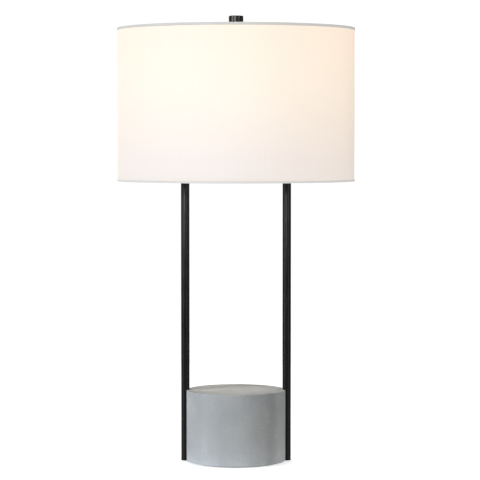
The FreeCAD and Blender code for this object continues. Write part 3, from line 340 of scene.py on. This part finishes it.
def concrete():
    """Smooth cast concrete: clouds, streaks, fine sand and pinholes, with painted light at its foot
    and painted shade in the pinholes and in a band at its right front.
    """
    look = Look("cast_concrete", (0.4, 0.41, 0.42), 0.85, Specular_IOR_Level=0.25)
    low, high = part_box("base_block")
    clouds = look.noise(15.0, 4.0, roughness=0.55)
    streak = look.noise(1.0, 3.0, look.stretch((60.0, 60.0, 9.0)))
    base = look.mix(0.2, look.ramp(clouds, *CLOUD_STOPS), look.ramp(streak, *STREAK_STOPS))
    # Painted light: the block grows paler towards its foot, for the floor's light thrown back up.
    toward_foot = look.range(look.height(), high.z, low.z)
    foot = look.mix(1.0, base, FLOOR_BOUNCE_TINT, "MULTIPLY")
    base = look.mix(look.math("POWER", toward_foot, 5.0), base, foot)
    sand = look.noise(900.0, 2.0)
    base = look.mix(look.range(sand, 0.45, 0.8, 0.0, 0.35), base, SAND_COLOUR)
    sparse = look.range(look.noise(60.0, 1.0), 0.56, 0.66)
    pores = look.range(look.cells(210.0), 0.30, 0.16, 0.0, 1.0, True)
    pits = look.math("MULTIPLY", pores, sparse)
    # Painted shade darkens the pinholes.
    base = look.mix(look.math("MULTIPLY", pits, 0.3), base, PIT_SHADE_COLOUR)
    # Painted shade: a dark vertical band at the block's right front.
    squeezed = look.stretch(BAND_STRETCH)
    from_band = look.node("VectorMath", [(0, squeezed), (1, BAND_PLACE)], operation="DISTANCE")
    wander = look.math("MULTIPLY_ADD", look.noise(30.0, 2.0), BAND_WANDER, -BAND_WANDER / 2)
    reach = look.math("ADD", from_band.outputs["Value"], wander)
    band = look.range(reach, BAND_INNER, BAND_OUTER, BAND_DEPTH, 0.0, True)
    look.set("Base Color", look.mix(band, base, SHADE_BAND_COLOUR))
    look.set("Roughness", look.range(clouds, 0.3, 0.7, 0.62, 0.8))
    look.bump(clouds, 0.25, 1.2 * MM)
    look.bump(sand, 0.25, 0.12 * MM)
    look.bump(look.math("SUBTRACT", 1.0, pits), 0.8, 0.6 * MM)
    return look


def powder_coat():
    """Satin black powder coat: a fine orange peel under faint smears."""
    look = Look("black_powder_coat", (0.006, 0.0054, 0.005), 0.3, Specular_IOR_Level=0.3)
    peel = look.noise(650.0, 2.0)
    smear = look.noise(28.0, 3.0)
    blacks = [(0.3, (0.0035, 0.0033, 0.0031)), (0.75, (0.0075, 0.0068, 0.0063))]
    look.set("Base Color", look.ramp(smear, *blacks))
    look.set("Roughness", look.range(smear, 0.3, 0.7, 0.27, 0.33))
    look.bump(peel, 0.1, 0.01 * MM)
    return look


# How fine a metal's scratches are along each axis: drawn upwards, or spun round the upright axis.
DRAWN = (4000.0, 4000.0, 160.0)
SPUN = (300.0, 300.0, 5000.0)
TARNISH = 0.84


def plated(name, colour, roughness, grain=DRAWN):
    """Drawn or spun metal with fine scratches along one way and faint tarnish."""
    look = Look(name, colour, roughness, 1.0)
    lines = look.noise(1.0, 2.0, look.stretch(grain))
    tarnish = look.noise(130.0, 4.0)
    dark = tuple(c * TARNISH for c in colour)
    look.set("Base Color", look.mix(look.range(tarnish, 0.42, 0.72), colour, dark))
    dull = look.range(tarnish, 0.3, 0.75, roughness * 0.8, roughness * 1.45)
    look.set("Roughness", dull)
    look.bump(lines, 0.12, 0.03 * MM)
    return look


def moulded(name, colour, roughness, texture=0.06):
    """Moulded plastic, rubber or card with a faint texture."""
    look = Look(name, colour, roughness)
    fine = look.noise(2200.0, 2.0)
    cloud = look.noise(90.0, 3.0)
    light = tuple(min(1.0, c * 1.25 + 0.004) for c in colour)
    look.set("Base Color", look.mix(look.range(cloud, 0.4, 0.75), colour, light))
    dull = look.range(cloud, 0.3, 0.7, roughness * 0.85, min(1.0, roughness * 1.2))
    look.set("Roughness", dull)
    look.bump(fine, texture * 4, texture * MM)
    return look


def enamel_wire():
    """White stoved enamel on the shade's wires and hub, a little creamy where it has pooled."""
    look = Look("white_enamel", (0.8, 0.79, 0.76), 0.32)
    pooled = look.noise(150.0, 3.0)
    whites = [(0.35, (0.82, 0.81, 0.78)), (0.75, (0.72, 0.7, 0.65))]
    look.set("Base Color", look.ramp(pooled, *whites))
    look.set("Roughness", look.range(pooled, 0.3, 0.7, 0.25, 0.42))
    look.bump(look.noise(700.0, 2.0), 0.15, 0.08 * MM)
    return look


def lit_glass():
    """The frosted bulb, switched on: dim at the neck, bright and whiter from its middle up."""
    look = Look("frosted_bulb_glass", (0.5, 0.48, 0.44), 0.45, Specular_IOR_Level=0.5)
    low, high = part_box("bulb_glass")
    span = high.z - low.z
    dim, full = low.z + 0.1 * span, low.z + 0.55 * span
    glow = look.range(look.height(), dim, full, 0.25, 1.0, True)
    frost = look.noise(260.0, 3.0)
    tint = look.ramp(glow, (0.0, (1.0, 0.66, 0.36)), (1.0, (1.0, 0.83, 0.6)))
    bright = look.math("MULTIPLY", glow, look.range(frost, 0.3, 0.7, 0.92, 1.0))
    look.set("Emission Color", look.scaled(tint, bright))
    look.set("Emission Strength", 0.8)
    look.bump(frost, 0.1, 0.05 * MM)
    return look


def clear_glass():
    """The clear glass of the bulb's stem."""
    look = Look("clear_stem_glass", (0.95, 0.97, 0.95), 0.05, Transmission_Weight=1.0, IOR=1.5)
    look.set("Roughness", look.range(look.noise(120.0, 2.0), 0.3, 0.7, 0.02, 0.1))
    look.bump(look.noise(60.0, 2.0), 0.1, 0.3 * MM)
    return look


def hot_wire():
    """The filament, with its coil drawn as fine bands."""
    look = Look("tungsten_wire", (0.3, 0.27, 0.24), 0.4, 1.0)
    coil = look.noise(1.0, 1.0, look.stretch((5000.0, 200.0, 200.0)))
    greys = [(0.4, (0.22, 0.2, 0.18)), (0.6, (0.5, 0.42, 0.3))]
    look.set("Base Color", look.ramp(coil, *greys))
    look.bump(coil, 0.5, 0.1 * MM)
    return look


# The light on the inside of the drum, from its foot to its top.
LINER_GLOW = [(0.0, (0.4, 0.33, 0.25)), (0.55, (0.68, 0.56, 0.42)), (1.0, (0.52, 0.43, 0.33))]


def styrene():
    """The white sheet behind the shade's fabric, lit by the bulb, with a faint fine texture."""
    look = Look("white_styrene", (0.62, 0.6, 0.57), 0.5)
    ripple = look.noise(9.0, 3.0)
    whites = [(0.3, (0.6, 0.585, 0.55)), (0.7, (0.65, 0.635, 0.605))]
    look.set("Base Color", look.ramp(ripple, *whites))
    look.set("Roughness", look.range(ripple, 0.3, 0.7, 0.42, 0.58))
    low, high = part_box("shade_liner")
    level = look.range(look.height(), low.z, high.z)
    look.set("Emission Color", look.ramp(level, *LINER_GLOW))
    look.set("Emission Strength", 1.0)
    look.bump(look.noise(1100.0, 2.0), 0.1, 0.04 * MM)
    return look


# Threads of the shade's linen, each way, in a metre.
LINEN_THREADS = 1500.0
# This draws the slubs out along a thread, so that one passes some 80 crossing threads.
SLUB = 0.012
# How much a thread rises and dips where it passes over and under another, about its usual height.
THREAD_HEIGHT, THREAD_SWING = 0.75, 0.25


def weave(look, across, along, threads):
    """The height of a plain weave, and how much each thread swells and thins along its length."""
    u = look.math("MULTIPLY", across, threads)
    v = look.math("MULTIPLY", along, threads)
    both = look.node("CombineXYZ", [(0, u), (1, v)]).outputs[0]
    warp_slub = look.noise(1.0, 3.0, look.stretch((1.0, SLUB, 1.0), both), 0.7)
    weft_slub = look.noise(1.0, 3.0, look.stretch((SLUB, 1.0, 1.0), both), 0.7)
    wave_u = look.math("SINE", look.math("MULTIPLY", u, math.pi))
    wave_v = look.math("SINE", look.math("MULTIPLY", v, math.pi))
    checks = look.math("MULTIPLY", wave_u, wave_v)
    over = look.math("MULTIPLY_ADD", checks, THREAD_SWING, THREAD_HEIGHT)
    under = look.math("MULTIPLY_ADD", checks, -THREAD_SWING, THREAD_HEIGHT)
    warp = look.math("MULTIPLY", look.math("ABSOLUTE", wave_u), over)
    weft = look.math("MULTIPLY", look.math("ABSOLUTE", wave_v), under)
    height = look.math("MAXIMUM", warp, weft)
    slub = look.math("MULTIPLY", look.math("ADD", warp_slub, weft_slub), 0.5)
    return height, slub


# What the lapped join and its edge let through, and how wide each of the two steps is.
DOUBLE_CLOTH, JOIN_EDGE = 0.86, 0.88
DOUBLE_BLUR = 0.4 * MM
EDGE_INNER, EDGE_OUTER = 0.2 * MM, 0.7 * MM


def linen(name, colour, glow, around, lap):
    """Off-white linen lit from behind. glow is (height, colour) stops of the light it lets through.

    around is the drum's circumference. lap is half the width of the join, where the cloth is double
    and dimmer.
    """
    look = Look(name, colour, 0.85, Sheen_Weight=0.15, Sheen_Roughness=0.5)
    uv = look.node("SeparateXYZ", [(0, look.node("UVMap").outputs[0])]).outputs
    height, slub = weave(look, uv[0], uv[1], LINEN_THREADS)
    warm = tuple(c * k for c, k in zip(colour, (0.9, 0.86, 0.78)))
    look.set("Base Color", look.mix(look.range(slub, 0.35, 0.68), colour, warm))
    low, high = glow[0][0], glow[-1][0]
    stops = [((z - low) / (high - low), c) for z, c in glow]
    through = look.ramp(look.range(look.height(), low, high), *stops)
    gaps = look.range(height, 0.2, 1.0, 1.015, 0.99)
    threads = look.math("MULTIPLY", gaps, look.range(slub, 0.3, 0.72, 1.015, 0.97))
    from_join = look.math("MINIMUM", uv[0], look.math("SUBTRACT", around, uv[0]))
    double = look.range(from_join, lap, lap + DOUBLE_BLUR, DOUBLE_CLOTH, 1.0)
    from_edge = look.math("ABSOLUTE", look.math("SUBTRACT", from_join, lap))
    edge = look.range(from_edge, EDGE_INNER, EDGE_OUTER, JOIN_EDGE, 1.0)
    threads = look.math("MULTIPLY", threads, look.math("MULTIPLY", double, edge))
    look.set("Emission Color", look.scaled(through, threads))
    look.set("Emission Strength", 1.0)
    look.set("Roughness", look.range(slub, 0.3, 0.7, 0.78, 0.92))
    look.bump(height, 0.5, 0.12 * MM)
    look.bump(slub, 0.5, 0.2 * MM)
    return look


def felt():
    """Dense wool felt: matted fibres with no weave."""
    look = Look("black_felt", (0.02, 0.02, 0.022), 0.95, Sheen_Weight=0.4, Sheen_Roughness=0.6)
    fibres = look.noise(1.0, 4.0, look.stretch((1800.0, 700.0, 700.0)), 0.7)
    tufts = look.noise(500.0, 4.0, roughness=0.7)
    blacks = [(0.35, (0.012, 0.012, 0.013)), (0.7, (0.055, 0.055, 0.06))]
    look.set("Base Color", look.ramp(fibres, *blacks))
    look.bump(tufts, 0.8, 0.4 * MM)
    look.bump(fibres, 0.7, 0.2 * MM)
    return look


def dress_cad_nodes():
    """Gives every carried-over CAD node the look of its material slot."""
    white = (0.78, 0.77, 0.74)
    looks = {
        "concrete": concrete(),
        "black_steel": powder_coat(),
        "zinc_steel": plated("zinc_plate", (0.55, 0.55, 0.53), 0.36),
        "nickel": plated("nickel_plate", (0.62, 0.59, 0.53), 0.24),
        "brass": plated("spun_brass", (0.76, 0.56, 0.25), 0.28, SPUN),
        "aluminium_cap": plated("rolled_aluminium", (0.74, 0.74, 0.73), 0.32, SPUN),
        "tungsten": hot_wire(),
        "white_wire": enamel_wire(),
        "black_plastic": moulded("black_phenolic", (0.014, 0.013, 0.013), 0.28),
        "white_plastic": moulded("white_nylon", white, 0.45),
        "black_rubber": moulded("black_rubber", (0.018, 0.018, 0.018), 0.62, 0.12),
        "black_glass": moulded("black_vitrite", (0.012, 0.012, 0.02), 0.12),
        "liner_paper": moulded("waxed_card", (0.42, 0.33, 0.22), 0.7, 0.1),
        "live_insulation": moulded("black_insulation", (0.02, 0.02, 0.02), 0.5),
        "neutral_insulation": moulded("white_insulation", white, 0.5),
        "bulb_glass": lit_glass(),
        "clear_glass": clear_glass(),
        "shade_liner": styrene(),
    }
    for entry in frame["record"]["subparts"]:
        slot = entry["material_slot"]
        if slot in looks:
            looks[slot].on(NODES[entry["node"]])


# ---------------------------------------------------------------- cloth pieces

def finish_mesh(name, bm, look, slot, body, *replaced):
    """Turns a bmesh into a shaded piece that rides on a body and stands for CAD nodes."""
    bmesh.ops.recalc_face_normals(bm, faces=bm.faces)
    mesh = bpy.data.meshes.new(name)
    bm.to_mesh(mesh)
    bm.free()
    mesh.polygons.foreach_set("use_smooth", [True] * len(mesh.polygons))
    piece = bpy.data.objects.new(name, mesh)
    bpy.context.scene.collection.objects.link(piece)
    look.on(piece)
    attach(piece, body)
    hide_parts(*replaced)
    return piece


def swept_ring(section, stations, wobble):
    """A closed ring: a section of (radius, height) points carried round the lamp's axis.

    stations is how many copies of the section there are. wobble(angle, i) moves point i of a copy
    by (dr, dz). The UV map holds metres: along the ring and up it.
    """
    bm = bmesh.new()
    uv_layer = bm.loops.layers.uv.new("UVMap")
    rows = []
    for k in range(stations):
        angle = TURN * k / stations
        row = []
        for i, (radius, height) in enumerate(section):
            dr, dz = wobble(angle, i)
            r = radius + dr
            row.append(bm.verts.new((r * math.sin(angle), r * math.cos(angle), height + dz)))
        rows.append(row)
    count = len(section)
    travel = [0.0]
    for (r0, z0), (r1, z1) in zip(section, section[1:] + section[:1]):
        travel.append(travel[-1] + math.hypot(r1 - r0, z1 - z0))
    arc = TURN * section[0][0] / stations
    for k in range(stations):
        here, there = rows[k], rows[(k + 1) % stations]
        for i in range(count):
            j = (i + 1) % count
            face = bm.faces.new((here[i], there[i], there[j], here[j]))
            spots = ((k, i), (k + 1, i), (k + 1, i + 1), (k, i + 1))
            for loop, (step, point) in zip(face.loops, spots):
                loop[uv_layer].uv = (step * arc, travel[point])
    return bm


# The drum's cloth: half the angle of the join up its back, its thickness, and its divisions.
LAP = math.radians(2.2)
CLOTH_THICK = 0.6 * MM
CLOTH_ROWS, CLOTH_STATIONS = 26, 720
# How far the second layer stands out at the join, and the angle over which it comes down.
JOIN_RISE = 0.55 * MM
JOIN_SLOPE = 0.35 * math.radians(1)
# The ripples: how deep, how far in their middle lies, and the noise's scale round and up the drum.
RIPPLE_DEPTH, RIPPLE_SHIFT = 0.22 * MM, 0.2 * MM
RIPPLE_ROUND, RIPPLE_UP = 3, 9


def make_shade_fabric(look):
    """The drum of linen, glued round the liner, with its lapped join up the back."""
    low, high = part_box("shade_fabric")
    outer = high.x
    levels = [low.z + (high.z - low.z) * i / CLOTH_ROWS for i in range(CLOTH_ROWS + 1)]
    section = [(outer, z) for z in levels]
    section += [(outer - CLOTH_THICK, z) for z in reversed(levels)]

    def wobble(angle, i):
        """Slight hand-stretched ripples, and the second layer of cloth over the join."""
        turned = (angle + math.pi) % TURN - math.pi
        round_x, round_y = RIPPLE_ROUND * math.sin(angle), RIPPLE_ROUND * math.cos(angle)
        point = Vector((round_x, round_y, RIPPLE_UP * section[i][1]))
        ripple = RIPPLE_DEPTH * noise.noise(point) - RIPPLE_SHIFT
        edge = min(1.0, max(0.0, (LAP - abs(turned)) / JOIN_SLOPE))
        doubled = JOIN_RISE * edge if i <= CLOTH_ROWS else 0.0
        return ripple + doubled, 0.0

    bm = swept_ring(section, CLOTH_STATIONS, wobble)
    piece = finish_mesh("shade_linen", bm, look, "shade_fabric", "shade", "shade_fabric")
    circumference = TURN * outer
    return piece, (circumference + 2 * outer * LAP, high.z - low.z)


# The folded tape: its wall, its rounded corners, and its gap to the ring that it hides.
TAPE_WALL = 0.42 * MM
TAPE_ROUND = 0.55 * MM
TAPE_CORNER_STEPS = 5
RING_CLEARANCE = 0.45 * MM
TAPE_STATIONS = 480
# The free edge on the outside, where the tape starts, and the next row of points above it.
TAPE_START, TAPE_NEXT = 0.15 * MM, 1.2 * MM
# How far noise moves the tape in and out and its free edge up and down, and the noise's scale.
TAPE_DRIFT, EDGE_DRIFT = 0.12 * MM, 0.18 * MM
TAPE_SCALE = 6


def make_trim(name, node, ring, look, flip):
    """The tape folded over a shade edge, with soft corners and a free edge that wavers a little.

    ring is the wire ring that the tape hides. flip turns the fold over, for the drum's bottom edge.
    """
    low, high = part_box(node)
    ring_low, ring_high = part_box(ring)
    outer = high.x
    wire = (ring_high.z - ring_low.z) / 2
    inner = ring_high.x - 2 * wire - RING_CLEARANCE
    top, bottom = (low.z, high.z) if flip else (high.z, low.z)
    up = -1.0 if flip else 1.0
    shoulder = top - up * TAPE_ROUND
    lining = top - up * TAPE_WALL
    turns = [math.radians(90 * step / TAPE_CORNER_STEPS) for step in range(1, TAPE_CORNER_STEPS)]
    outline = [(outer, bottom + up * TAPE_START), (outer, bottom + up * TAPE_NEXT)]
    outline.append((outer, shoulder))
    for turn in turns:
        along, rise = 1 - math.cos(turn), 1 - math.sin(turn)
        outline.append((outer - TAPE_ROUND * along, top - up * TAPE_ROUND * rise))
    outline += [(outer - TAPE_ROUND, top), (inner + TAPE_ROUND, top)]
    for turn in turns:
        along, rise = 1 - math.sin(turn), 1 - math.cos(turn)
        outline.append((inner + TAPE_ROUND * along, top - up * TAPE_ROUND * rise))
    outline += [(inner, shoulder), (inner, bottom)]
    outline += [(inner + TAPE_WALL, bottom), (inner + TAPE_WALL, lining)]
    outline += [(outer - TAPE_WALL, lining), (outer - TAPE_WALL, bottom)]
    random.seed(7 if flip else 3)
    phase = random.random() * 10

    def wobble(angle, i):
        """A slow drift in and out, and up and down at the free edge."""
        point = Vector((TAPE_SCALE * math.sin(angle), TAPE_SCALE * math.cos(angle), phase))
        drift = noise.noise(point)
        free_edge = i in (0, len(outline) - 1)
        return TAPE_DRIFT * drift, (EDGE_DRIFT * drift if free_edge else 0.0)

    bm = swept_ring(outline, TAPE_STATIONS, wobble)
    return finish_mesh(name, bm, look, "shade_tape", "shade", node)


# The felt: its steps round, its rings as shares of the radius, and how rough it is.
FELT_STEPS = 256
FELT_UNDER = (0.12, 0.25, 0.4, 0.55, 0.7, 0.82, 0.92)
FELT_OVER = (0.9, 0.6, 0.3)
FUZZ, MATTING = 0.25 * MM, 0.06 * MM
FUZZ_SCALE, FUZZ_STEP = 30, 3


def felt_rings(radius, thick):
    """The (radius, height) of each ring, from the middle of the underside round to the top."""
    rings = [(0.0, 0.0)] + [(radius * f, 0.0) for f in FELT_UNDER]
    rings += [(radius - 0.5 * MM, 0.0), (radius - 0.1 * MM, 0.25 * MM), (radius, 0.7 * MM)]
    rings += [(radius - 0.05 * MM, thick - 0.25 * MM), (radius - 0.35 * MM, thick)]
    return rings + [(radius * f, thick) for f in FELT_OVER] + [(0.0, thick)]


def felt_row(bm, index, r, z, radius):
    """One ring's points: a single one in the middle, or a rough circle."""
    if r == 0.0:
        return [bm.verts.new((0.0, 0.0, z))]
    row = []
    for k in range(FELT_STEPS):
        angle = TURN * k / FELT_STEPS
        x, y = FUZZ_SCALE * math.cos(angle), FUZZ_SCALE * math.sin(angle)
        rough = noise.noise(Vector((x, y, FUZZ_STEP * index)))
        fuzz = FUZZ * rough if r > radius - MM else 0.0
        lift = MATTING * (1 + rough) if z == 0.0 else 0.0
        out = r + fuzz
        row.append(bm.verts.new((out * math.cos(angle), out * math.sin(angle), z + lift)))
    return row


def make_felt_pad(look):
    """The felt disc: soft cut edge, slightly matted underside."""
    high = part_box("felt_pad")[1]
    radius, thick = high.x, high.z
    bm = bmesh.new()
    previous = None
    for index, (r, z) in enumerate(felt_rings(radius, thick)):
        row = felt_row(bm, index, r, z, radius)
        if previous:
            for k in range(FELT_STEPS):
                n = (k + 1) % FELT_STEPS
                if len(previous) == 1:
                    bm.faces.new((previous[0], row[n], row[k]))
                elif len(row) == 1:
                    bm.faces.new((previous[k], previous[n], row[0]))
                else:
                    bm.faces.new((previous[k], previous[n], row[n], row[k]))
        previous = row
    piece = finish_mesh("felt_disc", bm, look, "felt", "lamp_frame", "felt_pad")


# ---------------------------------------------------------------- the scene

# The light through the linen: (height above the drum's foot, colour). The last stop is at its top.
LINEN_GLOW = [
    (0.0, (0.745, 0.652, 0.575)),
    (0.034, (0.767, 0.655, 0.575)),
    (0.0625, (0.796, 0.673, 0.567)),
    (0.098, (0.832, 0.697, 0.567)),
    (0.1335, (0.868, 0.722, 0.572)),
    (0.176, (0.9, 0.74, 0.574)),
]
LINEN_TOP_GLOW = (0.915, 0.745, 0.582)
TAPE_FOOT_GLOW, TAPE_TOP_GLOW = (0.52, 0.5, 0.47), (0.455, 0.435, 0.4)
LINEN_COLOUR = (0.12, 0.15, 0.19)
TAPE_COLOUR = (0.15, 0.165, 0.19)

make_camera()
make_studio()
dress_cad_nodes()

low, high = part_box("shade_fabric")
around = TURN * high.x
glow = [(low.z + rise, colour) for rise, colour in LINEN_GLOW] + [(high.z, LINEN_TOP_GLOW)]
tape_glow = [(low.z, TAPE_FOOT_GLOW), (high.z, TAPE_TOP_GLOW)]
linen_look = linen("lit_linen", LINEN_COLOUR, glow, around, LAP * high.x)
tape_look = linen("lit_tape", TAPE_COLOUR, tape_glow, around, 0.0)
fabric, flat = make_shade_fabric(linen_look)
trims = [
    make_trim("top_tape", "top_trim", "top_ring", tape_look, False),
    make_trim("bottom_tape", "bottom_trim", "bottom_ring", tape_look, True),
]
make_felt_pad(felt())
